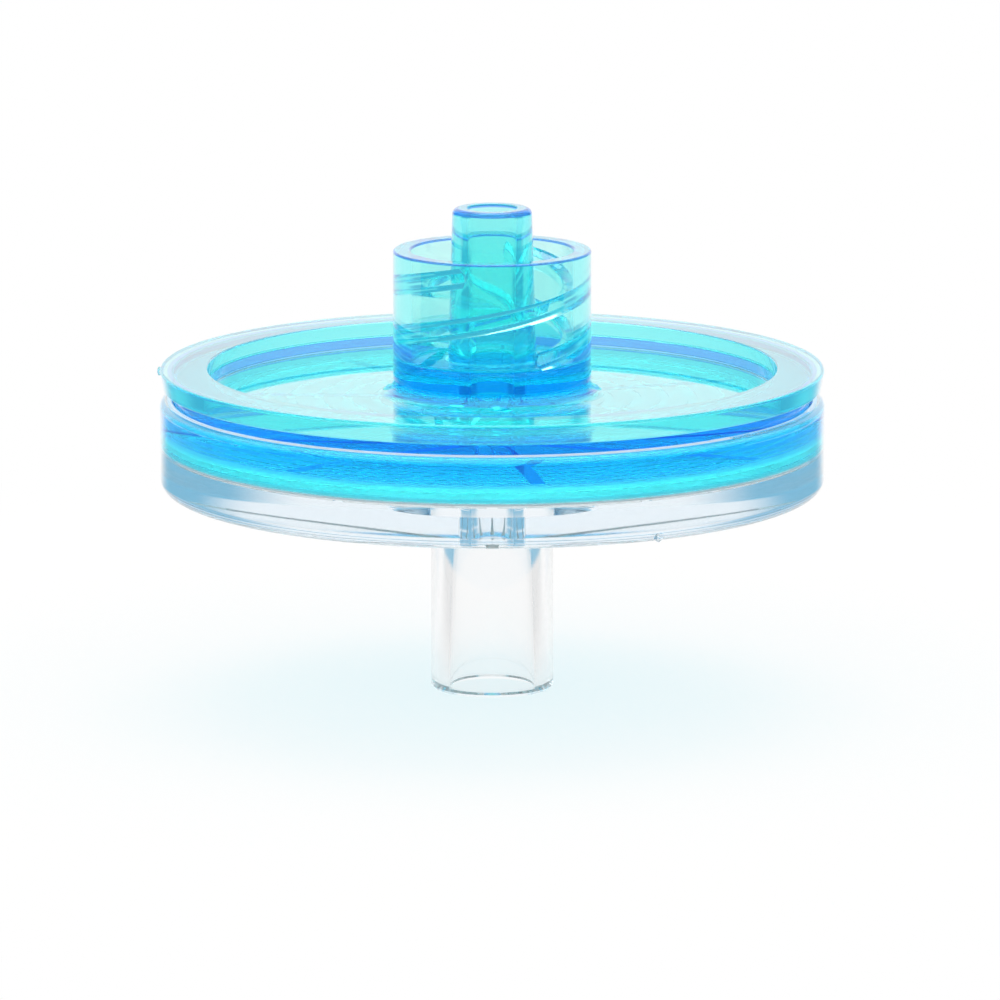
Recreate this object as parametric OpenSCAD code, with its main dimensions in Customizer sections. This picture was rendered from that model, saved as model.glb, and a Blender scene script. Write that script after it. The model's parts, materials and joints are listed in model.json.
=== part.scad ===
// Disc filter for a syringe, in three pieces that are welded shut. The clear inlet housing is a shallow cup
// on a female Luer tube. The blue outlet housing is a flanged plug with a male Luer lock on top. The white
// membrane lies between them, on the cup's ribs and under the plug's skirt.
// Origin: middle of the inlet tube's rim, on which the filter stands. +Z runs up the flow axis.

/* [Membrane] */
// Diameter of the membrane
membrane_d = 31.6; // [24:0.2:44]
// Thickness of the membrane
membrane_t = 0.15; // [0.1:0.01:0.3]
// Width of the membrane's edge that the skirt presses on the seat
clamp_w = 1.8; // [1:0.1:3]
// Play between the membrane's edge and the cup
membrane_play = 0.15; // [0.05:0.01:0.3]

/* [Inlet tube] */
// Outside diameter of the inlet tube
tube_d = 6.15; // [5.7:0.05:8]
// Length of the inlet tube below the disc
tube_l = 10.2; // [9:0.1:20]
// Mouth of the female Luer bore
inlet_mouth_d = 4.3; // [4.26:0.01:4.34]
// Length of the female Luer bore
inlet_luer_l = 8; // [7.5:0.1:8.8]
// Passage from the Luer bore to the membrane
inlet_bore_d = 2.14; // [1.4:0.02:3]
// Chamfer on the tube's rim
tube_chamfer = 0.15; // [0.05:0.05:0.3]
// Fillet where the tube meets the disc
tube_fillet = 0.3; // [0.1:0.1:1]

/* [Cup of the inlet housing] */
// Thickness of the cup's base under the seat
base_t = 2.05; // [1.2:0.05:3.5]
// Wall of the cup's ring
ring_wall = 0.65; // [0.5:0.05:1.5]
// Height of the cup's ring above the seat
ring_h = 2.45; // [2:0.05:4]
// Round on the ring's top outer edge
ring_round = 0.35; // [0.1:0.05:0.4]
// Round on the ring's top inner edge
ring_lip_round = 0.12; // [0.05:0.01:0.15]
// Round on the disc's bottom edge
base_round = 0.35; // [0.1:0.05:0.8]
// Depth of the inlet chamber below the seat
inlet_chamber_h = 0.3; // [0.15:0.05:0.6]
// Number of ribs in the inlet chamber
inlet_ribs = 12; // [6:1:24]
// Width of one inlet rib
inlet_rib_w = 0.5; // [0.3:0.05:1]
// Radius of the clear space around the passage's upper end
inlet_hub_r = 2.6; // [2:0.1:4]

/* [Plug of the outlet housing] */
// Running gap between the plug and the cup's ring
plug_gap = 0.05; // [0.02:0.01:0.1]
// Height of the outlet chamber
outlet_chamber_h = 0.6; // [0.4:0.05:0.9]
// Height of the chamfer in the outlet chamber's upper corner
chamber_chamfer_h = 0.3; // [0.1:0.05:0.35]
// Width of that chamfer across the plate
chamber_chamfer_w = 0.4; // [0.1:0.05:0.5]
// Thickness of the plate over the outlet chamber
plate_t = 2; // [1.4:0.05:2.6]
// Radius round the outlet passage that the support rings stay clear of
support_hub_r = 3.2; // [2.4:0.1:5]
// Width of one support ring
support_w = 0.45; // [0.3:0.05:0.8]
// Spacing of the support rings
support_pitch = 1.4; // [1.2:0.05:1.7]
// Number of drain channels through the support rings
drains = 7; // [4:1:12]
// Direction of the first drain channel, from +X
drain_start_a = -81; // [-180:1:180]
// Width of a drain channel
drain_w = 0.65; // [0.5:0.05:1.4]
// Rise of a drain channel's roof towards the middle
drain_rise = 0.5; // [0.2:0.05:0.8]

/* [Flange of the outlet housing] */
// How far the flange stands out past the cup's ring
flange_over = 0; // [-0.3:0.05:1]
// Thickness of the flange at its edge
flange_t = 0.95; // [0.6:0.05:2]
// Draft of the flange's edge, towards its underside
flange_draft = 0.15; // [0:0.05:0.3]
// Open groove between the cup's ring and the flange
groove_h = 0.65; // [0.3:0.05:1.5]
// Wall between the recess and the plug's side
recess_wall = 1.7; // [1:0.05:3]
// Round on the flange's top edges
flange_round = 0.1; // [0.05:0.05:0.3]

/* [Male Luer lock] */
// Outside diameter of the collar
collar_d = 9.9; // [9.6:0.1:12]
// Inside diameter of the collar, at the thread's root
collar_in_d = 8.1; // [8:0.05:8.6]
// Depth of the collar
collar_depth = 5.5; // [5.4:0.1:7]
// Thickness from the recess to the collar's floor
collar_floor_t = 1.7; // [1:0.1:3]
// Fillet where the collar stands on the plate
collar_fillet = 0.7; // [0.2:0.1:1.2]
// Round on the collar's rim
collar_round = 0.12; // [0.05:0.01:0.2]
// Diameter of the Luer cone at its tip
cone_tip_d = 3.97; // [3.94:0.01:4.03]
// Length of the cone above the collar's rim
cone_out = 2.1; // [2.1:0.1:4]
// Round on the cone's tip
cone_round = 0.3; // [0.1:0.05:0.4]
// Outlet passage at the cone's tip
tip_bore_d = 2.5; // [1.6:0.05:2.8]
// Outlet passage at the outlet chamber
outlet_bore_d = 2.14; // [1.4:0.02:2.4]

/* [Luer thread inside the collar] */
// Rise of one ridge in a full turn
thread_lead = 5; // [4.6:0.1:5.4]
// Number of ridges, set evenly round the collar
thread_starts = 2; // [1:1:2]
// Height of a ridge above the collar's inner wall
ridge_h = 0.55; // [0.4:0.05:0.6]
// Width of a ridge at its root
ridge_root_w = 1; // [0.8:0.05:1.1]
// Width of a ridge at its crest
ridge_crest_w = 0.5; // [0.3:0.05:0.6]
// Height of the ridge's middle over the collar's floor where it starts
ridge_rise = 0.4; // [0.3:0.05:0.6]
// Space between the ridge's upper end and the collar's rim
ridge_gap = 0.25; // [0.2:0.05:0.5]
// Direction in which the first ridge starts, from +X
ridge_start_a = -60; // [-180:5:180]
// Angle over which a ridge grows to its full height
ridge_fade_a = 14; // [5:1:30]

/* [Gate marks] */
// Diameter of the nub left at a mould gate
gate_d = 0.4; // [0.2:0.05:0.5]
// Height of the nub
gate_h = 0.12; // [0.05:0.01:0.3]
// Distance of a nub's middle from the edge beside it
gate_inset = 0.25; // [0.25:0.05:0.6]
// Direction of the flange's gate, from +X
flange_gate_a = 180; // [0:5:360]
// Direction of the cup's gate, from +X
cup_gate_a = 299; // [0:1:360]

/* [Hidden] */
$fn = 96;

luer_taper = 0.06;  // the 6 % cone of every Luer fitting, on the diameter
over = 0.5;         // how far a cut runs past the face that it opens
sink = 0.2;         // how far a rib or ridge runs into the wall that carries it
ridge_step_a = 5;   // angle between two sections of a ridge

cup_r = membrane_d / 2 + membrane_play;
plug_r = cup_r - plug_gap;
disc_r = cup_r + ring_wall;
chamber_r = membrane_d / 2 - clamp_w;
flange_r = disc_r + flange_over;
recess_r = plug_r - recess_wall;
collar_r = collar_d / 2;
collar_in_r = collar_in_d / 2;

base_z = tube_l;
seat_z = base_z + base_t;
inlet_floor_z = seat_z - inlet_chamber_h;
skirt_z = seat_z + membrane_t;
plate_z = skirt_z + outlet_chamber_h;
recess_z = plate_z + plate_t;
ring_top_z = seat_z + ring_h;
flange_z = ring_top_z + groove_h;
flange_top_z = flange_z + flange_t;
collar_floor_z = recess_z + collar_floor_t;
collar_top_z = collar_floor_z + collar_depth;
tip_z = collar_top_z + cone_out;
cone_root_d = cone_tip_d + luer_taper * (tip_z - collar_floor_z);
inlet_luer_end_d = inlet_mouth_d - luer_taper * inlet_luer_l;
support_out_r = chamber_r - support_pitch + support_w;
support_rings = floor((chamber_r - support_hub_r) / support_pitch);
ridge_turn_a = 360 * (collar_depth - ridge_rise - ridge_root_w / 2 - ridge_gap) / thread_lead;

// What a round takes off the corner at the origin of a face that lies in the third quadrant.
module corner_cut(r) {
    translate([-r, -r]) difference() {
        square(r + over);
        circle(r);
    }
}

// The fillet in a corner at the origin, between a wall that stands up from it and a floor that runs outwards.
module root_fillet(r) {
    difference() {
        translate([-sink, -sink]) square(r + sink);
        translate([r, r]) circle(r);
    }
}

// The half-section of a conical passage from z0 up to z1, run on past both ends by the same slope.
module passage_section(d0, z0, d1, z1) {
    slope = (d1 - d0) / 2 / (z1 - z0);
    polygon([
        [0, z0 - over], [d0 / 2 - slope * over, z0 - over],
        [d1 / 2 + slope * over, z1 + over], [0, z1 + over]
    ]);
}

module gate_nub(r, z, a) {
    rotate([0, 0, a]) translate([r - sink, 0, z]) rotate([0, 90, 0]) cylinder(d = gate_d, h = sink + gate_h);
}

// ---- membrane ----

module membrane() {
    color("white") translate([0, 0, seat_z]) cylinder(d = membrane_d, h = membrane_t, $fn = 180);
}

// ---- inlet housing ----

module inlet_section() {
    difference() {
        union() {
            square([tube_d / 2, base_z + sink]);
            translate([0, base_z]) square([disc_r, ring_top_z - base_z]);
            translate([tube_d / 2, base_z]) mirror([0, 1]) root_fillet(tube_fillet);
        }
        translate([0, seat_z]) square([cup_r, ring_h + over]);
        translate([0, inlet_floor_z]) square([chamber_r, inlet_chamber_h + over]);
        translate([disc_r, ring_top_z]) corner_cut(ring_round);
        translate([cup_r, ring_top_z]) mirror([1, 0]) corner_cut(ring_lip_round);
        translate([disc_r, base_z]) mirror([0, 1]) corner_cut(base_round);
        tube_rim_cut();
        inlet_passage();
    }
}

module tube_rim_cut() {
    translate([tube_d / 2, 0]) rotate(45) square(tube_chamfer * sqrt(2), center = true);
    translate([inlet_mouth_d / 2, 0]) rotate(45) square(tube_chamfer * sqrt(2), center = true);
}

module inlet_passage() {
    difference() {
        passage_section(inlet_mouth_d, 0, inlet_luer_end_d, inlet_luer_l);
        translate([0, inlet_luer_l]) square([inlet_mouth_d, 2 * over]);
    }
    translate([0, inlet_luer_l - sink]) square([inlet_bore_d / 2, inlet_floor_z - inlet_luer_l + sink + over]);
}

module inlet_rib() {
    translate([inlet_hub_r, -inlet_rib_w / 2, inlet_floor_z - sink])
        cube([chamber_r - inlet_hub_r + sink, inlet_rib_w, inlet_chamber_h + sink]);
}

module inlet_housing() {
    color([0.9, 0.95, 0.97, 0.45]) {
        rotate_extrude($fn = 180) inlet_section();
        for (i = [0 : inlet_ribs - 1]) rotate([0, 0, i * 360 / inlet_ribs]) inlet_rib();
        gate_nub(disc_r, base_z + gate_inset, cup_gate_a);
    }
}

// ---- outlet housing ----

module flange_section() {
    difference() {
        polygon([
            [recess_r, flange_z], [flange_r - flange_draft, flange_z],
            [flange_r, flange_top_z], [recess_r, flange_top_z]
        ]);
        translate([flange_r, flange_top_z]) corner_cut(flange_round);
        translate([recess_r, flange_top_z]) mirror([1, 0]) corner_cut(flange_round);
    }
}

module plug_section() {
    difference() {
        translate([0, skirt_z]) square([plug_r, flange_z + sink - skirt_z]);
        translate([0, recess_z]) square([recess_r, flange_top_z - recess_z + over]);
        chamber_section();
    }
}

module chamber_section() {
    polygon([
        [0, skirt_z - over], [chamber_r, skirt_z - over], [chamber_r, plate_z - chamber_chamfer_h],
        [chamber_r - chamber_chamfer_w, plate_z], [0, plate_z]
    ]);
}

module collar_section() {
    difference() {
        union() {
            translate([0, recess_z - sink]) square([collar_r, collar_top_z - recess_z + sink]);
            translate([collar_r, recess_z]) root_fillet(collar_fillet);
        }
        translate([0, collar_floor_z]) square([collar_in_r, collar_depth + over]);
        translate([collar_r, collar_top_z]) corner_cut(collar_round);
        translate([collar_in_r, collar_top_z]) mirror([1, 0]) corner_cut(collar_round);
    }
}

module cone_section() {
    difference() {
        polygon([
            [0, collar_floor_z - sink], [cone_root_d / 2, collar_floor_z - sink],
            [cone_root_d / 2, collar_floor_z], [cone_tip_d / 2, tip_z], [0, tip_z]
        ]);
        translate([cone_tip_d / 2, tip_z]) corner_cut(cone_round);
    }
}

module outlet_section() {
    difference() {
        union() {
            plug_section();
            flange_section();
            collar_section();
            cone_section();
        }
        passage_section(outlet_bore_d, plate_z, tip_bore_d, tip_z);
    }
}

// Rings that hold the membrane off the plate, spaced inwards from the chamber's wall.
module support_ring(i) {
    r = support_out_r - i * support_pitch;
    translate([0, 0, skirt_z]) rotate_extrude($fn = 120)
        translate([r - support_w, 0]) square([support_w, outlet_chamber_h + sink]);
}

// A channel that runs from the chamber's wall to the outlet passage, under a roof that climbs inwards.
module drain() {
    rotate([90, 0, 0]) translate([0, 0, -drain_w / 2]) linear_extrude(drain_w) polygon([
        [outlet_bore_d / 2 - sink, skirt_z - over], [chamber_r - chamber_chamfer_w, skirt_z - over],
        [chamber_r - chamber_chamfer_w, plate_z], [outlet_bore_d / 2 - sink, plate_z + drain_rise]
    ]);
}

// The four corners of a ridge's section at one angle, from the part that lies in the wall to the crest.
function ridge_corners(grow) = let (
    flank = (ridge_root_w - ridge_crest_w) / 2 / ridge_h,
    root = ridge_root_w / 2 + flank * sink,
    tall = ridge_h * grow,
    crest = ridge_root_w / 2 - flank * tall
) [
    [collar_in_r + sink, -root], [collar_in_r - tall, -crest],
    [collar_in_r - tall, crest], [collar_in_r + sink, root]
];

// One start of the thread: a helical ridge that grows out of the wall and fades at both ends.
module thread_ridge(start_a) {
    steps = ceil(ridge_turn_a / ridge_step_a);
    points = [for (i = [0 : steps])
        let (
            turned = i * ridge_turn_a / steps,
            grow = min(1, 0.1 + min(turned, ridge_turn_a - turned) / ridge_fade_a),
            a = start_a + turned,
            z = collar_floor_z + ridge_rise + thread_lead * turned / 360
        )
        for (p = ridge_corners(grow)) [p.x * cos(a), p.x * sin(a), z + p.y]];
    sides = [for (i = [0 : steps - 1]) for (k = [0 : 3])
        [4 * i + k, 4 * i + 4 + k, 4 * i + 4 + (k + 1) % 4, 4 * i + (k + 1) % 4]];
    ends = [[0, 1, 2, 3], [4 * steps + 3, 4 * steps + 2, 4 * steps + 1, 4 * steps]];
    polyhedron(points, concat(sides, ends), convexity = 6);
}

module outlet_housing() {
    color([0.1, 0.72, 0.92, 0.6]) difference() {
        union() {
            rotate_extrude($fn = 180) outlet_section();
            for (i = [0 : support_rings - 1]) support_ring(i);
            for (i = [0 : thread_starts - 1]) thread_ridge(ridge_start_a + i * 360 / thread_starts);
            gate_nub(flange_r, flange_top_z - gate_inset, flange_gate_a);
        }
        for (i = [0 : drains - 1]) rotate([0, 0, drain_start_a + i * 360 / drains]) drain();
    }
}

inlet_housing();
membrane();
outlet_housing();
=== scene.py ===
# %% [markdown]
# # A disc filter for a syringe
# Two clear plastic mouldings with a white membrane between them. Almost everything that is seen here is
# seen through plastic: the thread inside the collar, the rings and channels under the blue plate, and the
# bores. So the pieces are modelled as whole solids with their inner faces, and real refraction and real
# absorption do most of the rest. A painted shell would have nothing to show.

# %% Load the frame
import json
import math

import bmesh
import bpy
from mathutils import Matrix, Vector


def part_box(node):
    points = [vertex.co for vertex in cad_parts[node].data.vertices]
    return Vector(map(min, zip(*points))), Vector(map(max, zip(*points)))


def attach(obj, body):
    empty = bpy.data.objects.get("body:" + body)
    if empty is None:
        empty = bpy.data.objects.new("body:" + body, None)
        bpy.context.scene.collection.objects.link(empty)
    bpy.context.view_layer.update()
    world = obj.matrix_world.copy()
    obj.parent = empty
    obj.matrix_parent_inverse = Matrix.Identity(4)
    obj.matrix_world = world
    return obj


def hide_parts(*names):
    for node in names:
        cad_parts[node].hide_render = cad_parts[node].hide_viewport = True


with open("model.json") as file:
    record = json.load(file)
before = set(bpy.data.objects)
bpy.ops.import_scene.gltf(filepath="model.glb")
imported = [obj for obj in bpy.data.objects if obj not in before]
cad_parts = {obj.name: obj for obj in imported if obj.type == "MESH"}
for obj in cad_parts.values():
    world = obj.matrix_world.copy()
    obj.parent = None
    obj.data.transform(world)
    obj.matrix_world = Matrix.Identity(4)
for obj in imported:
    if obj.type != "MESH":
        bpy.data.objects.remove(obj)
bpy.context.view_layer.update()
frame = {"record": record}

# %% [markdown]
# ## Sizes
# The frame gives the heights at which the three pieces meet, and their outer radii. The rest are the
# sizes that a mould maker would write on the drawing. Everything below is in millimetres, and a vertex
# is turned into Blender's metres at the moment it is made.

# %% Heights and radii that the frame gives
MM = 0.001


def box_mm(node):
    """The lowest and highest corner of a CAD node, in millimetres."""
    low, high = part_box(node)
    return [v / MM for v in low], [v / MM for v in high]


_, cup_high = box_mm("inlet_housing")
film_low, film_high = box_mm("membrane")
_, plug_high = box_mm("outlet_housing")
mounts = {m["name"]: m for m in frame["record"]["mounts"]}

disc_r = cup_high[1]
ring_top_z = cup_high[2]
seat_z = film_low[2]
skirt_z = film_high[2]
film_r = film_high[0]
flange_r = plug_high[1]
tip_z = plug_high[2]
tube_r = mounts["inlet_tube"]["dims"]["r_mm"]
print(f"disc radius {disc_r:.2f} mm, height {tip_z:.2f} mm, inlet tube radius {tube_r:.3f} mm")

# %% Sizes of the clear inlet housing
LUER_TAPER = 0.06     # the 6 % cone of every Luer fitting, on the diameter

base_z = 10.2         # underside of the disc
base_round = 0.6
ring_round = 0.35
cup_r = 15.95         # inner wall of the clear ring
chamber_r = 14.0
inlet_chamber_h = 0.3
inlet_floor_z = seat_z - inlet_chamber_h
inlet_rib_n = 12
inlet_rib_w = 0.5
inlet_hub_r = 2.6
inlet_mouth_r = 2.15
inlet_luer_l = 8.0
inlet_bore_r = 1.07
tube_chamfer = 0.15
tube_fillet = 0.3

# %% Sizes of the blue outlet housing
plug_r = 15.9
plate_z = 13.0        # underside of the blue plate
chamber_chamfer = 0.3
chamber_chamfer_w = 0.4
recess_z = 15.0       # top of the blue plate
recess_r = 14.2
flange_z = 15.35
flange_top_z = 16.3
flange_draft = 0.15
support_w = 0.45
support_pitch = 1.4
support_n = 7
support_out_r = chamber_r - support_pitch + support_w
drain_n = 7
drain_w = 0.65
drain_rise = 0.5
drain_start = math.radians(-81)

collar_r = 4.95
collar_in_r = 4.05
collar_floor_z = 16.7
collar_top_z = 22.2
cone_tip_r = 1.985
tip_bore_r = 1.25
outlet_bore_r = 1.07
cone_root_r = cone_tip_r + LUER_TAPER / 2 * (tip_z - collar_floor_z)

thread_lead = 5.0
thread_starts = 2
ridge_h = 0.55
ridge_root_w = 1.0
ridge_crest_w = 0.5
ridge_rise = 0.4
ridge_gap = 0.25
ridge_start = math.radians(-60)

# %% [markdown]
# ## Writing node trees as sums
# Materials, the world and the Geometry Nodes trees below are all node trees. One small class wraps a
# socket, so that arithmetic in Python adds the Math nodes, and its method node() adds every other node.
# Almost every mask below asks how far a point is from the axis and how high it is, so a second class
# keeps those signals together.

# %% A socket that takes part in Python expressions
class Signal:
    """One socket of a node tree. Arithmetic on it adds Math nodes, and node() adds any other node."""

    def __init__(self, tree, socket=None):
        self.tree = tree
        self.socket = socket

    def node(self, kind, settings=None, inputs=None, out=0):
        """A new node: its type, its settings, and the values or links of its sockets."""
        made = self.tree.nodes.new(kind)
        for name, value in (settings or {}).items():
            setattr(made, name, value)
        for name, value in (inputs or {}).items():
            if isinstance(value, Signal):
                self.tree.links.new(value.socket, made.inputs[name])
            else:
                made.inputs[name].default_value = value
        return Signal(self.tree, made.outputs[out] if made.outputs else None)

    def also(self, out):
        """Another output of the node that this signal comes from."""
        return Signal(self.tree, self.socket.node.outputs[out])

    def parts(self):
        """The x, y and z of a vector."""
        x = self.node("ShaderNodeSeparateXYZ", inputs={"Vector": self})
        return x, x.also("Y"), x.also("Z")

    def math(self, operation, first, second=0.0):
        return self.node("ShaderNodeMath", {"operation": operation}, {0: first, 1: second})

    def __add__(self, other):
        return self.math("ADD", self, other)

    def __radd__(self, other):
        return self.math("ADD", other, self)

    def __sub__(self, other):
        return self.math("SUBTRACT", self, other)

    def __rsub__(self, other):
        return self.math("SUBTRACT", other, self)

    def __mul__(self, other):
        return self.math("MULTIPLY", self, other)

    def __rmul__(self, other):
        return self.math("MULTIPLY", other, self)

    def __truediv__(self, other):
        return self.math("DIVIDE", self, other)

    def __pow__(self, other):
        return self.math("POWER", self, other)

    def __gt__(self, other):
        return self.math("GREATER_THAN", self, other)

    def absolute(self):
        return self.math("ABSOLUTE", self)

    def clamped(self):
        return self.math("MINIMUM", self.math("MAXIMUM", self, 0.0), 1.0)

    def step(self, low, high):
        """A soft step from 0 at low to 1 at high."""
        settings = {"interpolation_type": "SMOOTHSTEP"}
        return self.node("ShaderNodeMapRange", settings, {"Value": self, "From Min": low, "From Max": high})

    def colours(self, first, second):
        """The first colour where this signal is 0, and the second where it is 1."""
        settings = {"data_type": "RGBA"}
        return self.node("ShaderNodeMix", settings, {"Factor": self, "A": first, "B": second}, out=2)

    def shaders(self, first, second):
        """The first shader where this signal is 0, and the second where it is 1."""
        return self.node("ShaderNodeMixShader", inputs={"Fac": self, 1: first, 2: second})


# %% How a material or the world starts
def blank_tree(owner):
    """Empties the node tree of a material or world, and gives a signal that adds nodes to it."""
    owner.use_nodes = True
    owner.node_tree.nodes.clear()
    return Signal(owner.node_tree)


class Spot:
    """A point of a surface: its place as a vector, its x, y and z, and its distance from the axis."""

    def __init__(self, start):
        self.place = start.node("ShaderNodeTexCoord", out="Object")
        self.x, self.y, self.z = self.place.parts()
        self.radius = (self.x * self.x + self.y * self.y) ** 0.5

    def ring_zone(self, r, reach, low, high):
        """1 within reach of the circle of radius r, between two heights; all in millimetres."""
        away = (self.radius - r * MM).absolute() > reach * MM
        return (1 - away) * (self.z > low * MM) * (1 - (self.z > high * MM))


# %% [markdown]
# ## Moulded plastic
# Both housings are the same kind of plastic, clear with a refractive index of 1.57, and one of them has a
# blue dye in it. Most of the colour belongs in the volume: a thin edge is pale and a long way through the
# rim is deep blue. On the real part, light that has run round inside the rim comes out at a few edges in
# a still deeper blue. That light is painted here: the rims and the foot of the collar and the wall of the
# groove under the flange carry a painted deep-blue shade on top of the dye, and the cone a painted cyan.
#
# The surface shows what the steel of the mould left on it. The inserts were turned on a lathe, so the
# marks run round the axis: one stretched noise, read along height and radius together, gives level lines
# on upright walls and rings on flat faces.

# %% The marks of the mould
MARKS_ACROSS = 9000   # turned marks to a metre of height or radius
MARKS_ROUND = 60      # how fast those marks change on their way round the axis
WAVE_DEPTH = 6        # waves from the flow of the melt are this many times as deep as a turned mark


def mould_marks(spot, depth):
    """The normal of a moulded face: turned marks, and slow waves from the way the melt ran."""
    place = spot.place
    turned = place.node("ShaderNodeCombineXYZ", inputs={
        "X": spot.x * MARKS_ROUND, "Y": spot.y * MARKS_ROUND, "Z": (spot.radius + spot.z) * MARKS_ACROSS})
    marks = place.node("ShaderNodeTexNoise", inputs={
        "Vector": turned, "Scale": 1.0, "Detail": 1.0, "Roughness": 0.5})
    flow = place.node("ShaderNodeTexNoise", inputs={
        "Vector": place, "Scale": 320.0, "Detail": 1.0, "Roughness": 0.4, "Distortion": 0.6})
    bump = place.node("ShaderNodeBump", inputs={
        "Strength": 1.0, "Distance": depth * MM, "Height": marks})
    return place.node("ShaderNodeBump", inputs={
        "Strength": 1.0, "Distance": depth * WAVE_DEPTH * MM, "Height": flow, "Normal": bump})


# %% Painted deep-blue shade at the edges, and painted cyan on the cone
# painted shade colours: a deep blue for the edges and the groove, and a cyan for the cone
PAINTED_SHADE_BLUE = (0.1, 0.15, 1.0, 1)
PAINTED_CONE_CYAN = (0.0, 1.0, 1.0, 1)
RIM_SHARE = 0.9       # how much of the deep blue each place gets, and of the cyan the cone
GROOVE_SHARE = 0.85
FOOT_SHARE = 0.6
CONE_SHARE = 0.4
FOOT_FADE = 1.6       # height above the collar's floor at which the foot's tint has faded out


def painted_edge_shade(spot, skin_colour):
    """Painted deep-blue shade at the rims, the foot and the groove, and painted cyan on the cone, over the
    colour that most of the surface has.
    """
    over_all = tip_z + 1                      # a height above everything
    rim_low = collar_top_z - 0.1
    rims = (spot.ring_zone(collar_r, 0.1, rim_low, over_all)
            + spot.ring_zone(collar_in_r, 0.1, rim_low, over_all)
            + spot.ring_zone(cone_tip_r - 0.1, 0.2, tip_z - 0.25, over_all))
    groove = spot.ring_zone(plug_r, 0.3, ring_top_z - 0.02, flange_z + 0.02)
    foot_high = collar_floor_z + FOOT_FADE
    fading = 1 - spot.z.step((collar_floor_z - 0.2) * MM, foot_high * MM)
    foot = spot.ring_zone(collar_r, 0.3, recess_z - 0.1, foot_high) * fading
    # painted deep-blue shade at the rims, the foot and the groove
    deep = (rims * RIM_SHARE + groove * GROOVE_SHARE + foot * FOOT_SHARE).clamped()
    cone = spot.ring_zone(cone_root_r - 0.2, 0.35, collar_floor_z, over_all) * CONE_SHARE
    return deep.colours(cone.colours((*skin_colour, 1), PAINTED_CONE_CYAN), PAINTED_SHADE_BLUE)


# %% [markdown]
# Three more places have a finish of their own. The blue faces over the membrane are frosted, so the
# chamber doesn't mirror itself. Where the housings are welded they have become one body: below the plate
# no surface is left, and above it the joint only tints what passes. The bead that the weld squeezed out is
# chalky white, and that matt white also serves as a painted highlight along the joint. A lamp can't find
# its way through refracting faces, so for its shadow rays they are plain clear sheets.

# %% The clear and the blue plastic
PLASTIC_IOR = 1.57
SKIN_IOR = 1.2        # the polished skin adds to the gloss at a flat angle and hardly from the front
FROST = 0.9
SHADOW_TINT = (0.97, 0.97, 0.97, 1)
# matt white of the weld bead, which also paints the highlight along the joint
CHALK_AND_HIGHLIGHT_WHITE = (0.95, 0.95, 0.95, 1)


def moulded_plastic(name, skin_colour, dye, density, mark_depth, haze, weld_r, weld_tint, chalk_and_highlight):
    """Plastic with a dye in its volume, the mould's marks, and no surface where it is welded."""
    material = bpy.data.materials.new(name)
    spot = Spot(blank_tree(material))
    place = spot.place
    smear = place.node("ShaderNodeTexNoise", inputs={
        "Vector": place, "Scale": 900.0, "Detail": 3.0, "Roughness": 0.55})
    frosted = spot.ring_zone(0, chamber_r, skirt_z - 0.05, plate_z + 0.02)
    # its base colour carries the painted deep-blue shade and the painted cyan
    glass = place.node("ShaderNodeBsdfPrincipled", inputs={
        "Base Color": painted_edge_shade(spot, skin_colour),
        "Roughness": haze * (0.6 + 0.8 * smear) + FROST * frosted,
        "IOR": PLASTIC_IOR, "Transmission Weight": 1.0,
        "Coat Weight": 1.0, "Coat IOR": SKIN_IOR,
        "Normal": mould_marks(spot, mark_depth)})
    lamp_light = place.node("ShaderNodeBsdfTransparent", inputs={"Color": SHADOW_TINT})
    skin = place.node("ShaderNodeLightPath", out="Is Shadow Ray").shaders(glass, lamp_light)

    # painted highlight: a matt white on the weld bead at the ring's inner top edge
    chalky_highlight = spot.ring_zone(cup_r + 0.08, 0.2, ring_top_z - 0.01, flange_z - 0.1) * chalk_and_highlight
    white = place.node("ShaderNodeBsdfDiffuse", inputs={"Color": CHALK_AND_HIGHLIGHT_WHITE})
    skin = chalky_highlight.shaders(skin, white)

    above_plate = spot.z > (plate_z + 0.15) * MM
    nothing = place.node("ShaderNodeBsdfTransparent")
    fused = place.node("ShaderNodeBsdfTransparent", inputs={"Color": (*weld_tint, 1)})
    welded = spot.ring_zone(weld_r, 0.02, skirt_z + 0.05, ring_top_z - 0.1)
    surface = welded.shaders(skin, above_plate.shaders(nothing, fused))
    volume = place.node("ShaderNodeVolumeAbsorption", inputs={"Color": (*dye, 1), "Density": density})
    place.node("ShaderNodeOutputMaterial", inputs={"Surface": surface, "Volume": volume})
    print(f"{name}: {len(place.tree.nodes)} nodes")
    return material


blue_plastic = moulded_plastic(
    "blue_plastic", skin_colour=(1.0, 1.0, 0.95), dye=(0.0, 0.955, 0.9996), density=500,
    mark_depth=0.00012, haze=0.03, weld_r=plug_r, weld_tint=(0.7, 0.72, 1.0), chalk_and_highlight=0)
clear_plastic = moulded_plastic(
    "clear_plastic", skin_colour=(1.0, 1.0, 1.0), dye=(0.80, 0.90, 0.97), density=20,
    mark_depth=0.0001, haze=0.02, weld_r=cup_r, weld_tint=(1.0, 1.0, 1.0), chalk_and_highlight=0.8)

# %% [markdown]
# ## Membrane
# The membrane is a white sheet of fine foam, 0.15 mm thick. It scatters light on the spot, so a rough
# white surface stands for it, with a grain that is fine enough to vanish at arm's length and faint clouds
# from the way such sheets are cast.

# %% White porous membrane
GLOW_THROUGH = 0.25   # the share of the light that comes out on the other side


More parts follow.
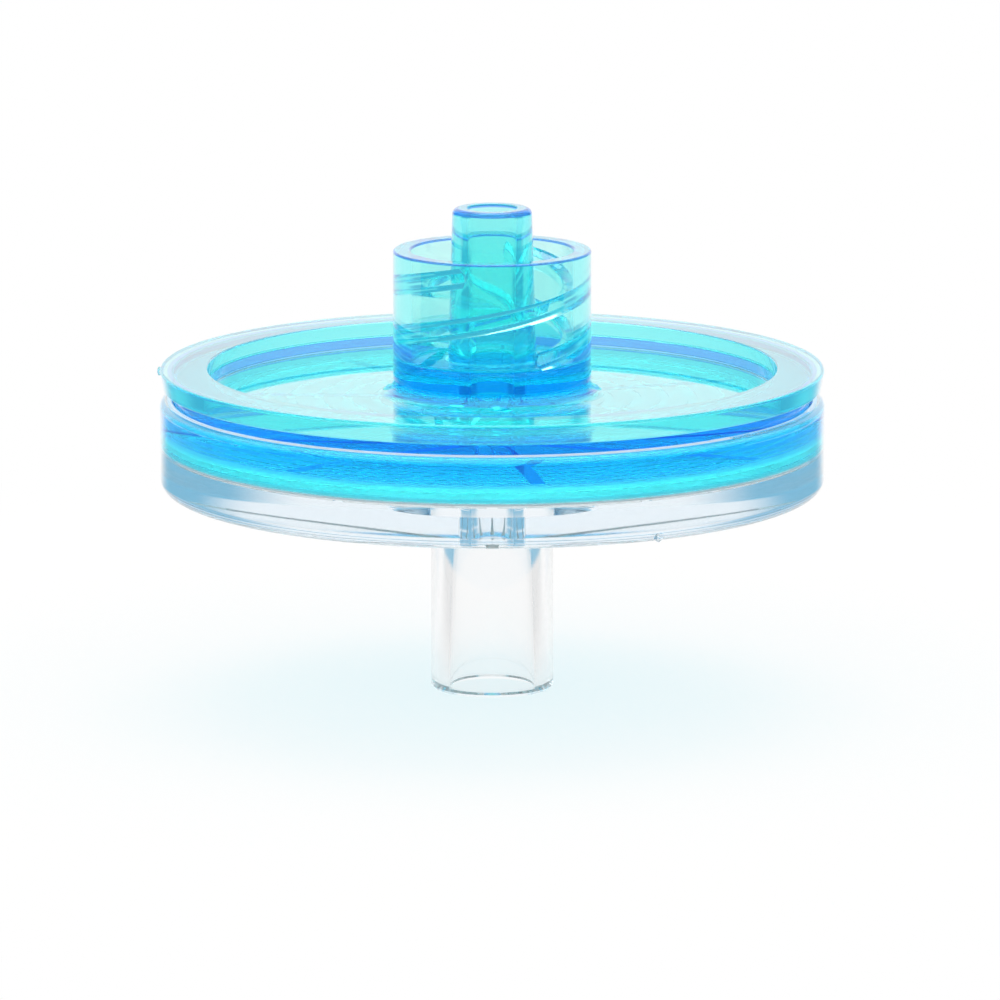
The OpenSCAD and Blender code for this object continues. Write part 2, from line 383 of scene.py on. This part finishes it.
def porous_membrane():
    """A rough white sheet that lets a share of the light through."""
    material = bpy.data.materials.new("porous_membrane")
    place = blank_tree(material).node("ShaderNodeTexCoord", out="Object")
    clouds = place.node("ShaderNodeTexNoise", inputs={
        "Vector": place, "Scale": 260.0, "Detail": 3.0, "Roughness": 0.5})
    pores = place.node("ShaderNodeTexVoronoi", {"feature": "F1"}, {"Vector": place, "Scale": 14000.0})
    colour = clouds.step(0.3, 0.7).colours((0.93, 0.94, 0.94, 1), (0.97, 0.97, 0.97, 1))
    grain = place.node("ShaderNodeBump", inputs={"Distance": 0.006 * MM, "Height": pores})
    front = place.node("ShaderNodeBsdfPrincipled", inputs={
        "Base Color": colour, "Roughness": 0.85 + 0.1 * clouds, "Specular IOR Level": 0.3, "Normal": grain})
    through = place.node("ShaderNodeBsdfTranslucent", inputs={"Color": (0.97, 0.97, 0.97, 1)})
    sheet = place.node("ShaderNodeMixShader", inputs={"Fac": GLOW_THROUGH, 1: front, 2: through})
    place.node("ShaderNodeOutputMaterial", inputs={"Surface": sheet})
    print(f"{material.name}: {len(place.tree.nodes)} nodes")
    return material


white_membrane = porous_membrane()

# %% [markdown]
# ## From an outline to a turned solid
# Both housings are bodies of revolution with a hole right through them, so their section never touches
# the axis: one closed outline, spun once, gives a closed mesh with no poles. Mould edges are seldom sharp,
# so each corner of an outline carries the radius of its round. Smooth shading bends the normal across
# the whole width of a face, which would bow every flat in the glass. Holding points close to both ends
# of each straight keep that bend at the corner.

# %% Outlines with rounded corners
HOLD = 0.03           # distance of a holding point from its corner
RIM_STEPS = 240       # facets round a turned piece


def arc_step(size):
    """The angle of one facet of a round: small rounds get by with fewer."""
    return math.radians(12 if size > 0.09 else 30)


def rounded(corners):
    """Closed outline of (radius, height) points from corners given as (radius, height, round)."""
    outline = []
    for i, (x, y, size) in enumerate(corners):
        here = Vector((x, y))
        before = (Vector(corners[i - 1][:2]) - here).normalized()
        after = (Vector(corners[(i + 1) % len(corners)][:2]) - here).normalized()
        opening = before.angle(after)
        if size == 0 or math.pi - opening < 0.01:
            outline.append(here)
            continue
        middle = here + (before + after).normalized() * size / math.sin(opening / 2)
        arm = here + before * size / math.tan(opening / 2) - middle
        turn = math.copysign(math.pi - opening, after.cross(before))
        steps = max(2, math.ceil(abs(turn) / arc_step(size) - 0.01))
        for k in range(steps + 1):
            outline.append(middle + Matrix.Rotation(turn * k / steps, 2) @ arm)
    return outline


def held(outline):
    """The outline with a holding point near both ends of each long straight."""
    points = []
    for i, here in enumerate(outline):
        after = outline[(i + 1) % len(outline)]
        points.append(here)
        if (after - here).length > 4 * HOLD:
            step = (after - here).normalized() * HOLD
            points += [here + step, after - step]
    return points


# %% Turning an outline about the axis
def new_piece(name, bm, material):
    """Turns a bmesh into an object of the scene, and frees the bmesh."""
    mesh = bpy.data.meshes.new(name)
    bm.to_mesh(mesh)
    bm.free()
    mesh.materials.append(material)
    piece = bpy.data.objects.new(name, mesh)
    bpy.context.scene.collection.objects.link(piece)
    return piece


def lathe(name, corners, material):
    """A closed solid turned about Z from one closed outline that stays off the axis."""
    outline = held(rounded(corners))
    bm = bmesh.new()
    rings = []
    for s in range(RIM_STEPS):
        turn = 2 * math.pi * s / RIM_STEPS
        across, along = math.cos(turn), math.sin(turn)
        rings.append([bm.verts.new((p.x * across * MM, p.x * along * MM, p.y * MM)) for p in outline])
    for s, ring in enumerate(rings):
        following = rings[(s + 1) % RIM_STEPS]
        for k in range(len(outline)):
            n = (k + 1) % len(outline)
            bm.faces.new((ring[k], following[k], following[n], ring[n]))
    bmesh.ops.recalc_face_normals(bm, faces=bm.faces)
    return new_piece(name, bm, material)


def measure(piece):
    """Prints a piece's triangles, open edges and volume."""
    bm = bmesh.new()
    bm.from_mesh(piece.data)
    loose = sum(1 for e in bm.edges if len(e.link_faces) != 2)
    triangles = sum(len(f.verts) - 2 for f in bm.faces)
    volume = bm.calc_volume(signed=True) / MM**3
    bm.free()
    print(f"{piece.name}: {triangles} triangles, {loose} open edges, {volume:.1f} mm3")


# %% [markdown]
# ## Parts made by rule
# What repeats round the axis is made by a Geometry Nodes tree: the ribs on the inlet floor and the
# channels that drain the underside of the blue plate. Both are bars on spokes, and a channel's bar has a
# roof that climbs towards the middle, so one tree with named inputs makes both. They are tools: the ribs
# are then united with the cup, and the channels are cut out of the plate.

# %% Geometry Nodes trees with named inputs
KINDS = {int: "NodeSocketInt", float: "NodeSocketFloat", bpy.types.Material: "NodeSocketMaterial"}


def new_tree(name, sizes):
    """A Geometry Nodes tree with one named input for each size, and a dict of its input signals."""
    tree = bpy.data.node_groups.new(name, "GeometryNodeTree")
    tree.interface.new_socket("Geometry", in_out="OUTPUT", socket_type="NodeSocketGeometry")
    for label, value in sizes.items():
        tree.interface.new_socket(label, in_out="INPUT", socket_type=KINDS[type(value)])
    first = Signal(tree).node("NodeGroupInput")
    return {label: first.also(label) for label in sizes}


def close_tree(shape, material):
    """Ends a tree as the export needs it: real geometry in one body, with its material set."""
    real = shape.node("GeometryNodeRealizeInstances", inputs={"Geometry": shape})
    one = real.node("GeometryNodeMeshBoolean", {"operation": "UNION", "solver": "EXACT"}, {
        "Mesh 2": real, "Self Intersection": True})
    painted = one.node("GeometryNodeSetMaterial", inputs={"Geometry": one, "Material": material})
    painted.node("NodeGroupOutput", inputs={"Geometry": painted})
    return painted.tree


def grown(name, tree, sizes):
    """A plain mesh object from a tree and its sizes."""
    piece = bpy.data.objects.new(name, bpy.data.meshes.new(name))
    bpy.context.scene.collection.objects.link(piece)
    growth = piece.modifiers.new(name, "NODES")
    growth.node_group = tree
    sockets = {s.name: s.identifier for s in tree.interface.items_tree if s.in_out == "INPUT"}
    for label, value in sizes.items():
        growth[sockets[label]] = value
    settle(piece)
    return piece


def settle(piece):
    """Replaces a piece's modifiers by the mesh that they make."""
    evaluated = piece.evaluated_get(bpy.context.evaluated_depsgraph_get())
    mesh = bpy.data.meshes.new_from_object(evaluated)
    piece.modifiers.clear()
    piece.data = mesh
    mesh.name = piece.name


def combine(body, tool, operation):
    """Unites a tool with a body or takes it away, and removes the tool."""
    change = body.modifiers.new(operation, "BOOLEAN")
    change.operation = operation
    change.solver = "MANIFOLD"
    change.object = tool
    settle(body)
    bpy.data.objects.remove(tool)


# %% The tree that sets bars on spokes
def spoke_tree(sizes):
    """Bars on the spokes of a wheel, with a roof that can climb towards the axis."""
    given = new_tree("bars_on_spokes", sizes)
    count = given["Count"]
    length = given["Outer radius"] - given["Inner radius"]
    height = given["Top"] - given["Bottom"]
    size = count.node("ShaderNodeCombineXYZ", inputs={"X": length, "Y": given["Width"], "Z": height})
    bar = count.node("GeometryNodeMeshCube", inputs={"Size": size})
    centre = count.node("ShaderNodeCombineXYZ", inputs={
        "X": given["Inner radius"] + length * 0.5, "Z": given["Bottom"] + height * 0.5})
    placed = count.node("GeometryNodeTransform", inputs={"Geometry": bar, "Translation": centre})
    x, _, z = count.node("GeometryNodeInputPosition").parts()
    is_roof = z > centre.parts()[2]
    climb = given["Roof rise"] * (given["Outer radius"] - x) / length
    lift = count.node("ShaderNodeCombineXYZ", inputs={"Z": climb})
    roofed = count.node("GeometryNodeSetPosition", inputs={
        "Geometry": placed, "Selection": is_roof, "Offset": lift})

    turn = given["First angle"] + count.node("GeometryNodeInputIndex") * (2 * math.pi) / count
    spin = count.node("ShaderNodeCombineXYZ", inputs={"Z": turn})
    points = count.node("GeometryNodePoints", inputs={"Count": count})
    spokes = count.node("GeometryNodeInstanceOnPoints", inputs={
        "Points": points, "Instance": roofed, "Rotation": spin})
    return close_tree(spokes, given["Material"])


# %% [markdown]
# ## Inlet housing
# The clear part is a shallow cup on a female Luer tube. Its bore is a 6 % cone for the first 8 mm and a
# narrow passage above that. Twelve ribs stand on the chamber's floor and carry the membrane. They run
# 0.2 mm into the floor and the wall, so that the union has no faces that merely touch.

# %% Turn the cup and its tube
PRESS = 0.004         # how far the seat, the ribs and the skirt press into the membrane
inlet_luer_end_r = inlet_mouth_r - LUER_TAPER / 2 * inlet_luer_l
inlet_mouth_cut_r = inlet_mouth_r - LUER_TAPER / 2 * tube_chamfer
inlet_piece = lathe("inlet_housing_clear", [
    (tube_r - tube_chamfer, 0, 0),
    (tube_r, tube_chamfer, 0),
    (tube_r, base_z, tube_fillet),
    (disc_r, base_z, base_round),
    (disc_r, ring_top_z, ring_round),
    (cup_r, ring_top_z, 0.12),
    (cup_r, seat_z + PRESS, 0.05),
    (chamber_r, seat_z + PRESS, 0.04),
    (chamber_r, inlet_floor_z, 0.05),
    (inlet_bore_r, inlet_floor_z, 0.08),
    (inlet_bore_r, inlet_luer_l, 0.04),
    (inlet_luer_end_r, inlet_luer_l, 0.06),
    (inlet_mouth_cut_r, tube_chamfer, 0),
    (inlet_mouth_r + tube_chamfer, 0, 0),
], clear_plastic)
measure(inlet_piece)

# %% Ribs that carry the membrane
SINK = 0.2            # how far a rib or ridge runs into the wall that carries it
rib_sizes = {
    "Count": inlet_rib_n,
    "First angle": 0.0,
    "Inner radius": inlet_hub_r * MM,
    "Outer radius": (chamber_r + SINK) * MM,
    "Width": inlet_rib_w * MM,
    "Bottom": (inlet_floor_z - SINK) * MM,
    "Top": (seat_z + PRESS) * MM,
    "Roof rise": 0.0,
    "Material": clear_plastic,
}
spokes = spoke_tree(rib_sizes)
combine(inlet_piece, grown("inlet_ribs", spokes, rib_sizes), "UNION")
measure(inlet_piece)

# %% [markdown]
# ## Membrane between the housings
# The membrane is clamped round its edge and lies between the ribs and the rings. The seat, the ribs and
# the skirt press into it by a few thousandths of a millimetre, as they do on the real filter. That is
# optical contact: without it, a film of air would turn the skirt's foot into a mirror and hide the white
# edge of the membrane.

# %% Cut the membrane
def film(name, radius, low, high, material):
    """A round sheet with a slightly rounded edge."""
    bm = bmesh.new()
    bmesh.ops.create_cone(bm, cap_ends=True, segments=RIM_STEPS, radius1=radius * MM,
                          radius2=radius * MM, depth=(high - low) * MM)
    bmesh.ops.translate(bm, verts=bm.verts, vec=(0, 0, (low + high) / 2 * MM))
    edges = [e for e in bm.edges if len({round(v.co.z, 6) for v in e.verts}) == 1]
    bmesh.ops.bevel(bm, geom=edges, offset=(high - low) * 0.25 * MM, segments=2, affect="EDGES")
    bmesh.ops.recalc_face_normals(bm, faces=bm.faces)
    return new_piece(name, bm, material)


film_piece = film("membrane_sheet", film_r, seat_z, skirt_z, white_membrane)
measure(film_piece)

# %% [markdown]
# ## Outlet housing
# The blue part is a flanged plug with a male Luer lock on top. Its underside carries seven rings that
# hold the membrane off the plate. They are turned with the rest, as teeth in the outline, which a loop
# writes from their spacing. So they need no union, and their edges stay as clean as the mould's. Those
# edges are left sharp, and a hair of air stays under the rings, because each round or touching foot
# would draw a dark circle on the pale floor of the recess.

# %% Turn the plug, the flange, the collar and the cone
ring_gap = 0.01       # air between the rings and the membrane
foot_z = skirt_z - PRESS
tooth_z = skirt_z + ring_gap
teeth = []
for i in reversed(range(support_n)):
    outer = support_out_r - i * support_pitch
    inner = outer - support_w
    teeth += [(inner, plate_z, 0), (inner, tooth_z, 0), (outer, tooth_z, 0), (outer, plate_z, 0)]

outlet_piece = lathe("outlet_housing_blue", [
    (outlet_bore_r, plate_z, 0.05),
    *teeth,
    (chamber_r - chamber_chamfer_w, plate_z, 0),
    (chamber_r, plate_z - chamber_chamfer, 0),
    (chamber_r, foot_z, 0.03),
    (plug_r, foot_z, 0.08),
    (plug_r, flange_z, 0.08),
    (flange_r - flange_draft, flange_z, 0.05),
    (flange_r, flange_top_z, 0.12),
    (recess_r, flange_top_z, 0.1),
    (recess_r, recess_z, 0.12),
    (collar_r, recess_z, 0.7),
    (collar_r, collar_top_z, 0.12),
    (collar_in_r, collar_top_z, 0.12),
    (collar_in_r, collar_floor_z, 0.15),
    (cone_root_r, collar_floor_z, 0.15),
    (cone_tip_r, tip_z, 0.3),
    (tip_bore_r, tip_z, 0.06),
], blue_plastic)
measure(outlet_piece)

# %% Drain channels under the plate
drain_sizes = {
    "Count": drain_n,
    "First angle": drain_start,
    "Inner radius": (outlet_bore_r - SINK) * MM,
    "Outer radius": (chamber_r - chamber_chamfer_w) * MM,
    "Width": drain_w * MM,
    "Bottom": (skirt_z - SINK) * MM,
    "Top": plate_z * MM,
    "Roof rise": drain_rise * MM,
    "Material": blue_plastic,
}
combine(outlet_piece, grown("drain_channels", spokes, drain_sizes), "DIFFERENCE")
measure(outlet_piece)

# %% [markdown]
# ## Luer thread
# Two ridges climb the inside of the collar, right-handed, five millimetres to a turn. They follow a
# helix, so Geometry Nodes sweep a rounded trapezoid along a Spiral. The profile shrinks over the last few
# degrees at both ends, which gives the ridges the blunt ends of the real ones.

# %% The tree that sweeps the ridges
def thread_tree(sizes):
    """Ridges that climb a wall on helices, with their feet sunk in it."""
    given = new_tree("luer_thread", sizes)
    turns, radius, lead = given["Turns"], given["Radius"], given["Lead"]
    helix = turns.node("GeometryNodeCurveSpiral", inputs={
        "Resolution": 96, "Rotations": turns, "Start Radius": radius, "End Radius": radius,
        "Height": turns * lead, "Reverse": True})
    upright = helix.node("GeometryNodeSetCurveNormal", {"mode": "Z_UP"}, {"Curve": helix})

    depth = given["Height"] + given["Sink"]
    flank = (given["Root width"] - given["Crest width"]) * 0.5 / given["Height"]
    foot_w = given["Root width"] + 2 * (flank * given["Sink"])
    ridge = turns.node("GeometryNodeCurvePrimitiveQuadrilateral", {"mode": "TRAPEZOID"}, {
        "Bottom Width": foot_w, "Top Width": given["Crest width"], "Height": depth, "Offset": 0.0})
    soft = ridge.node("GeometryNodeFilletCurve", {"mode": "POLY"}, {
        "Curve": ridge, "Count": 3, "Radius": given["Crest round"]})
    down = ridge.node("ShaderNodeCombineXYZ", inputs={"Y": depth * 0.5 - given["Sink"]})
    profile = soft.node("GeometryNodeTransform", inputs={"Geometry": soft, "Translation": down})
    profile = profile.node("GeometryNodeTransform", inputs={
        "Geometry": profile, "Rotation": (0, 0, math.radians(90))})

    along = turns.node("GeometryNodeSplineParameter")
    from_end = turns.math("MINIMUM", along, 1 - along)
    fade = (0.1 + from_end * (turns / given["Fade turns"])).clamped()
    swept = turns.node("GeometryNodeCurveToMesh", inputs={
        "Curve": upright, "Profile Curve": profile, "Scale": fade, "Fill Caps": True})
    lift = turns.node("ShaderNodeCombineXYZ", inputs={"Z": given["Foot"]})
    raised = turns.node("GeometryNodeTransform", inputs={"Geometry": swept, "Translation": lift})

    starts = given["Starts"]
    turn = given["First angle"] + turns.node("GeometryNodeInputIndex") * (2 * math.pi) / starts
    spin = turns.node("ShaderNodeCombineXYZ", inputs={"Z": turn})
    points = turns.node("GeometryNodePoints", inputs={"Count": starts})
    ridges = turns.node("GeometryNodeInstanceOnPoints", inputs={
        "Points": points, "Instance": raised, "Rotation": spin})
    return close_tree(ridges, given["Material"])


ridge_fade = 4        # degrees over which a ridge ends
ridge_crest_round = 0.08
thread_climb = collar_top_z - collar_floor_z - ridge_rise - ridge_root_w / 2 - ridge_gap
thread_sizes = {
    "Starts": thread_starts,
    "First angle": ridge_start,
    "Turns": thread_climb / thread_lead,
    "Lead": thread_lead * MM,
    "Radius": collar_in_r * MM,
    "Foot": (collar_floor_z + ridge_rise) * MM,
    "Height": ridge_h * MM,
    "Root width": ridge_root_w * MM,
    "Crest width": ridge_crest_w * MM,
    "Sink": SINK * MM,
    "Crest round": ridge_crest_round * MM,
    "Fade turns": ridge_fade / 360,
    "Material": blue_plastic,
}
ridge_piece = grown("thread_ridges", thread_tree(thread_sizes), thread_sizes)
measure(ridge_piece)

# %% Unite the ridges with the collar
combine(outlet_piece, ridge_piece, "UNION")
measure(outlet_piece)

# %% [markdown]
# ## Marks of the moulding
# Molten plastic enters a mould through a small gate, and a nub stays where the sprue is broken off. Each
# housing has one at its edge. It is a short stub whose broken end is uneven, so its rings are pushed
# about by two sine waves, which give the same result each time.

# %% Gate nubs
def gate_nub(name, radius, z, angle, size, height, material):
    """A broken-off stub that stands out of an upright wall."""
    bm = bmesh.new()
    steps = 20
    levels = [(-SINK, 1.0), (0.3 * height, 1.0), (0.8 * height, 0.86), (height, 0.55)]
    rings = []
    for out, share in levels:
        ring = []
        for k in range(steps):
            a = 2 * math.pi * k / steps
            torn = 1 + 0.09 * math.sin(3 * a + 1.0) + 0.06 * math.sin(7 * a)
            r = size / 2 * share * (torn if out > 0 else 1)
            ring.append(bm.verts.new((out, r * math.cos(a), r * math.sin(a))))
        rings.append(ring)
    for low, high in zip(rings, rings[1:]):
        for k in range(steps):
            n = (k + 1) % steps
            bm.faces.new((low[k], low[n], high[n], high[k]))
    bm.faces.new(rings[0])
    bm.faces.new(rings[-1])
    bmesh.ops.recalc_face_normals(bm, faces=bm.faces)
    place = Matrix.Rotation(angle, 4, "Z") @ Matrix.Translation((radius, 0, z))
    bmesh.ops.transform(bm, matrix=Matrix.Scale(MM, 4) @ place, verts=bm.verts)
    return new_piece(name, bm, material)


gate_d = 0.4
gate_h = 0.12
gate_inset = 0.25
combine(outlet_piece, gate_nub("flange_nub", flange_r, flange_top_z - gate_inset, math.radians(180),
                               gate_d, gate_h, blue_plastic), "UNION")
combine(inlet_piece, gate_nub("cup_nub", disc_r, base_z + gate_inset, math.radians(299),
                              gate_d, gate_h, clear_plastic), "UNION")

# %% [markdown]
# ## Flash along the weld
# Where the clear cup was pressed onto the blue plate while hot, a hair of plastic was squeezed out of the
# joint. It shows as a fine white bead, whose matt white is also a painted highlight along the joint, and
# over one stretch the tool left small teeth in it. A circle swept with a tiny round section makes it in
# Geometry Nodes, and the teeth come from a sine of the angle.

# %% The tree that lays the bead
def bead_tree(sizes):
    """A thin round bead on a circle, with small teeth between two bearings."""
    given = new_tree("weld_bead", sizes)
    path = given["Radius"].node("GeometryNodeCurvePrimitiveCircle", inputs={
        "Resolution": given["Steps"], "Radius": given["Radius"]})
    spot = path.node("GeometryNodeInputPosition")
    x, y, _ = spot.parts()
    bearing = x.math("ARCTAN2", y, x)
    on_teeth = (bearing > given["Teeth from"]) * (1 - (bearing > given["Teeth to"]))
    tooth = x.math("SINE", bearing * given["Teeth a turn"])
    reach = on_teeth * (tooth * 0.5 + 0.5) * given["Tooth"]
    unit = spot.node("ShaderNodeVectorMath", {"operation": "NORMALIZE"}, {0: spot})
    out = unit.node("ShaderNodeVectorMath", {"operation": "SCALE"}, {0: unit, "Scale": reach})
    toothed = path.node("GeometryNodeSetPosition", inputs={"Geometry": path, "Offset": out})

    section = path.node("GeometryNodeCurvePrimitiveCircle", inputs={
        "Resolution": 8, "Radius": given["Thickness"] * 0.5})
    wander = path.node("ShaderNodeTexNoise", inputs={"Vector": spot, "Scale": 700.0, "Detail": 2.0})
    swept = path.node("GeometryNodeCurveToMesh", inputs={
        "Curve": toothed, "Profile Curve": section, "Scale": 0.75 + 0.5 * wander})
    lift = path.node("ShaderNodeCombineXYZ", inputs={"Z": given["Height"]})
    raised = path.node("GeometryNodeTransform", inputs={"Geometry": swept, "Translation": lift})
    return close_tree(raised, given["Material"])


bead_t = 0.12
bead_out = 0.1        # how far the bead's middle lies outside the joint
bead_up = 0.02        # and above the top of the ring
bead_tooth = 0.3
bead_sizes = {
    "Steps": 2640,
    "Radius": (cup_r + bead_out) * MM,
    "Height": (ring_top_z + bead_up) * MM,
    "Thickness": bead_t * MM,
    "Teeth from": math.radians(-44),
    "Teeth to": math.radians(-16),
    "Teeth a turn": 440.0,
    "Tooth": bead_tooth * MM,
    "Material": clear_plastic,
}
bead = grown("weld_bead", bead_tree(bead_sizes), bead_sizes)
measure(bead)
combine(inlet_piece, bead, "UNION")
measure(inlet_piece)

# %% [markdown]
# ## Shading, and the place of each piece in the frame
# Faces that meet at more than 30 degrees keep a hard edge, and everything else is shaded smooth. Each
# piece then rides on the root body and stands for its CAD node.

# %% Shade and seat the pieces
for piece, node, finish in (
    (inlet_piece, "inlet_housing", "clear_plastic"),
    (film_piece, "membrane", "membrane"),
    (outlet_piece, "outlet_housing", "blue_plastic"),
):
    piece.data.shade_smooth()
    piece.data.set_sharp_from_angle(angle=math.radians(30))
    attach(piece, "root")
    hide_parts(node)
    measure(piece)

# %% [markdown]
# ## Floor
# The filter stands on white paper. Near the object the paper is matt and takes the shadow and the light
# that the blue plastic lets through. Most of its white is a glow of its own there, weakest in red, and the
# rest is the light that falls on it, so the glow paints the shadow soft and pale blue. Farther out the glow
# alone gives pure white. Rays that light the object find plain white paper.
#
# Clear plastic shows its surroundings. Behind the filter the paper rises as a white sheet, and to both
# sides of that sheet the room is dim. Only rays that came through or off the plastic see that dim part,
# and it gives the clear ring its dark ends. Close to the filter the floor at the sides carries a painted
# grey shade instead, for the shadowed floor that the tube shows.

# %% What the stage shows to which rays
WHITE = (1, 1, 1, 1)
BLACK = (0, 0, 0, 1)
ROOM_TONE = (0.24, 0.52, 0.70, 1)     # the dim room beside the white sheet
SHEET_SIDE = 0.57                     # the sheet ends at this sideways distance for one of depth


def ray_kinds(start):
    """Masks for the rays that show the stage, and for those that met plastic and nothing matt."""
    camera_ray = start.node("ShaderNodeLightPath", out="Is Camera Ray")
    mirrored, refracted = camera_ray.also("Is Glossy Ray"), camera_ray.also("Is Transmission Ray")
    shows = (camera_ray + mirrored + refracted).clamped()
    by_plastic = (1 - camera_ray) * (1 - camera_ray.also("Diffuse Depth").clamped())
    return shows, by_plastic


def beside_sheet(x, y, low, high):
    """A soft step from 0, before the white sheet, to 1 at both sides of it."""
    return (x.absolute() - SHEET_SIDE * y).step(low, high)


# %% White paper floor
FLOOR_R = 0.20
FLOOR_FADE = (-0.006, 0.02)           # how softly the sheet's side begins, on the floor
GLOW_BAND = (0.040, 0.060)            # distances between which the paper's own glow takes over
DIM_BAND = (0.050, 0.054)             # where the dim part of the floor starts, at the sides
SHEET_BAND = (0.092, 0.100)           # where the floor turns up into the sheet, at the back
PAPER = (0.93, 0.93, 0.93, 1)
# near the object: a glow weakest in red over a small matt share, which paints the shadow pale blue
NEAR_GLOW = (0.68, 0.88, 0.93, 1)
NEAR_PAPER = (0.28, 0.105, 0.06, 1)
# a painted grey shade on the near floor beside the sheet, which only plastic shows
SIDE_SHADE_GREY = (0.80, 0.80, 0.80, 1)


def paper():
    """White paper: matt near the object with a painted pale-blue shadow, glowing white farther out, and for
    plastic a painted grey shade and then a dim room at the sides.
    """
    material = bpy.data.materials.new("white_paper")
    spot = Spot(blank_tree(material))
    shows, by_plastic = ray_kinds(spot.place)
    far = spot.radius.step(*GLOW_BAND)
    behind = (spot.y > 0) * spot.radius.step(*SHEET_BAND)
    beside = by_plastic * beside_sheet(spot.x, spot.y, *FLOOR_FADE) * (1 - behind)

    # painted grey shade close to the filter, then the dim room
    side_shade_and_room = spot.radius.step(*DIM_BAND).colours(SIDE_SHADE_GREY, ROOM_TONE)
    glow_colour = beside.colours(far.colours(NEAR_GLOW, WHITE), side_shade_and_room)
    paper_colour = (beside + far).clamped().colours(NEAR_PAPER, BLACK)
    matt = spot.place.node("ShaderNodeBsdfDiffuse", inputs={"Color": shows.colours(PAPER, paper_colour)})
    glow = spot.place.node("ShaderNodeEmission", inputs={
        "Color": shows.colours(BLACK, glow_colour), "Strength": 1.0})
    surface = spot.place.node("ShaderNodeAddShader", inputs={0: matt, 1: glow})
    spot.place.node("ShaderNodeOutputMaterial", inputs={"Surface": surface})
    return material


bm = bmesh.new()
bmesh.ops.create_circle(bm, cap_ends=True, segments=96, radius=FLOOR_R)
floor = new_piece("floor", bm, paper())
print(f"floor: {FLOOR_R} m in radius, dim at the sides from {DIM_BAND[0]} m")

# %% [markdown]
# ## Room and light
# The world goes on where the floor ends. It is white, with strength 1, and the same dim blue-grey fills
# its sides for rays that came by way of the plastic. That part grows paler with height and ends halfway
# up. One large soft lamp hangs above and behind the filter.

# %% World
ROOM_LIGHT = (0.95, 0.95, 0.95, 1)
HIGH_TONE = (0.6, 0.8, 0.9, 1)        # the dim room higher up
ROOM_FADE = (-0.1, 0.3)               # how softly the sheet's side begins, in the world
PALE_RISE = (0.2, 0.4)                # the rise of a ray over which the sides turn to the paler tone
SIDE_END = (0.45, 0.65)               # and over which they end


def room():
    """A white world whose sides are dim for rays that came by way of the plastic."""
    world = bpy.data.worlds.new("room")
    bpy.context.scene.world = world
    ray = blank_tree(world).node("ShaderNodeTexCoord", out="Generated")
    x, y, z = ray.parts()
    shows, by_plastic = ray_kinds(ray)
    beside = by_plastic * beside_sheet(x, y, *ROOM_FADE) * (1 - z.step(*SIDE_END))
    side = z.step(*PALE_RISE).colours(ROOM_TONE, HIGH_TONE)
    colour = shows.colours(ROOM_LIGHT, beside.colours(WHITE, side))
    light = ray.node("ShaderNodeBackground", inputs={"Color": colour, "Strength": 1.0})
    ray.node("ShaderNodeOutputWorld", inputs={"Surface": light})
    print(f"{world.name}: {len(ray.tree.nodes)} nodes")


room()

# %% Lamp
def soft_lamp(name, size, place, target, radiance):
    """A square area lamp that shines with the given radiance, where white paper in full light has 1."""
    lamp = bpy.data.lights.new(name, "AREA")
    lamp.shape = "SQUARE"
    lamp.size = size
    lamp.energy = radiance * math.pi * size * size
    holder = bpy.data.objects.new(name, lamp)
    holder.location = place
    holder.rotation_euler = (Vector(target) - Vector(place)).to_track_quat("-Z", "Y").to_euler()
    bpy.context.scene.collection.objects.link(holder)
    print(f"{name}: {lamp.energy:.2f} W over {size} m")


soft_lamp("overhead", 0.36, (0.01, 0.24, 0.55), (0, 0, 0.01), 2.5)

# %% [markdown]
# ## Camera
# A long lens looks at the disc from a little above its level. Its distance and rise are taken from the
# underside of the blue plate, and it aims lower than that, so that the filter and its shadow are in view.

# %% Camera and view
CAMERA_DISTANCE = 0.400
CAMERA_RISE = math.radians(10.46)
LIGHT_BOUNCES = 96    # light runs round inside the plate by total reflection before it comes out
waist = Vector((0, 0, plate_z)) * MM
aim = Vector((0.39, 0, 9.49)) * MM    # the point at the middle of the view
camera_data = bpy.data.cameras.new("camera")
camera_data.lens = 288
camera_data.sensor_width = 36
camera_data.clip_start = 0.01
camera = bpy.data.objects.new("camera", camera_data)
back = Vector((0, -math.cos(CAMERA_RISE), math.sin(CAMERA_RISE)))
camera.location = waist + back * CAMERA_DISTANCE
camera.rotation_euler = (aim - camera.location).to_track_quat("-Z", "Y").to_euler()
bpy.context.scene.collection.objects.link(camera)
bpy.context.scene.camera = camera
print(f"camera: {CAMERA_DISTANCE} m away, {camera_data.lens:.0f} mm lens")

scene = bpy.context.scene
scene.view_settings.view_transform = "Standard"
scene.cycles.max_bounces = LIGHT_BOUNCES
scene.cycles.transmission_bounces = LIGHT_BOUNCES
scene.cycles.glossy_bounces = LIGHT_BOUNCES
scene.cycles.transparent_max_bounces = LIGHT_BOUNCES
scene.cycles.diffuse_bounces = 12
scene.cycles.use_denoising = True
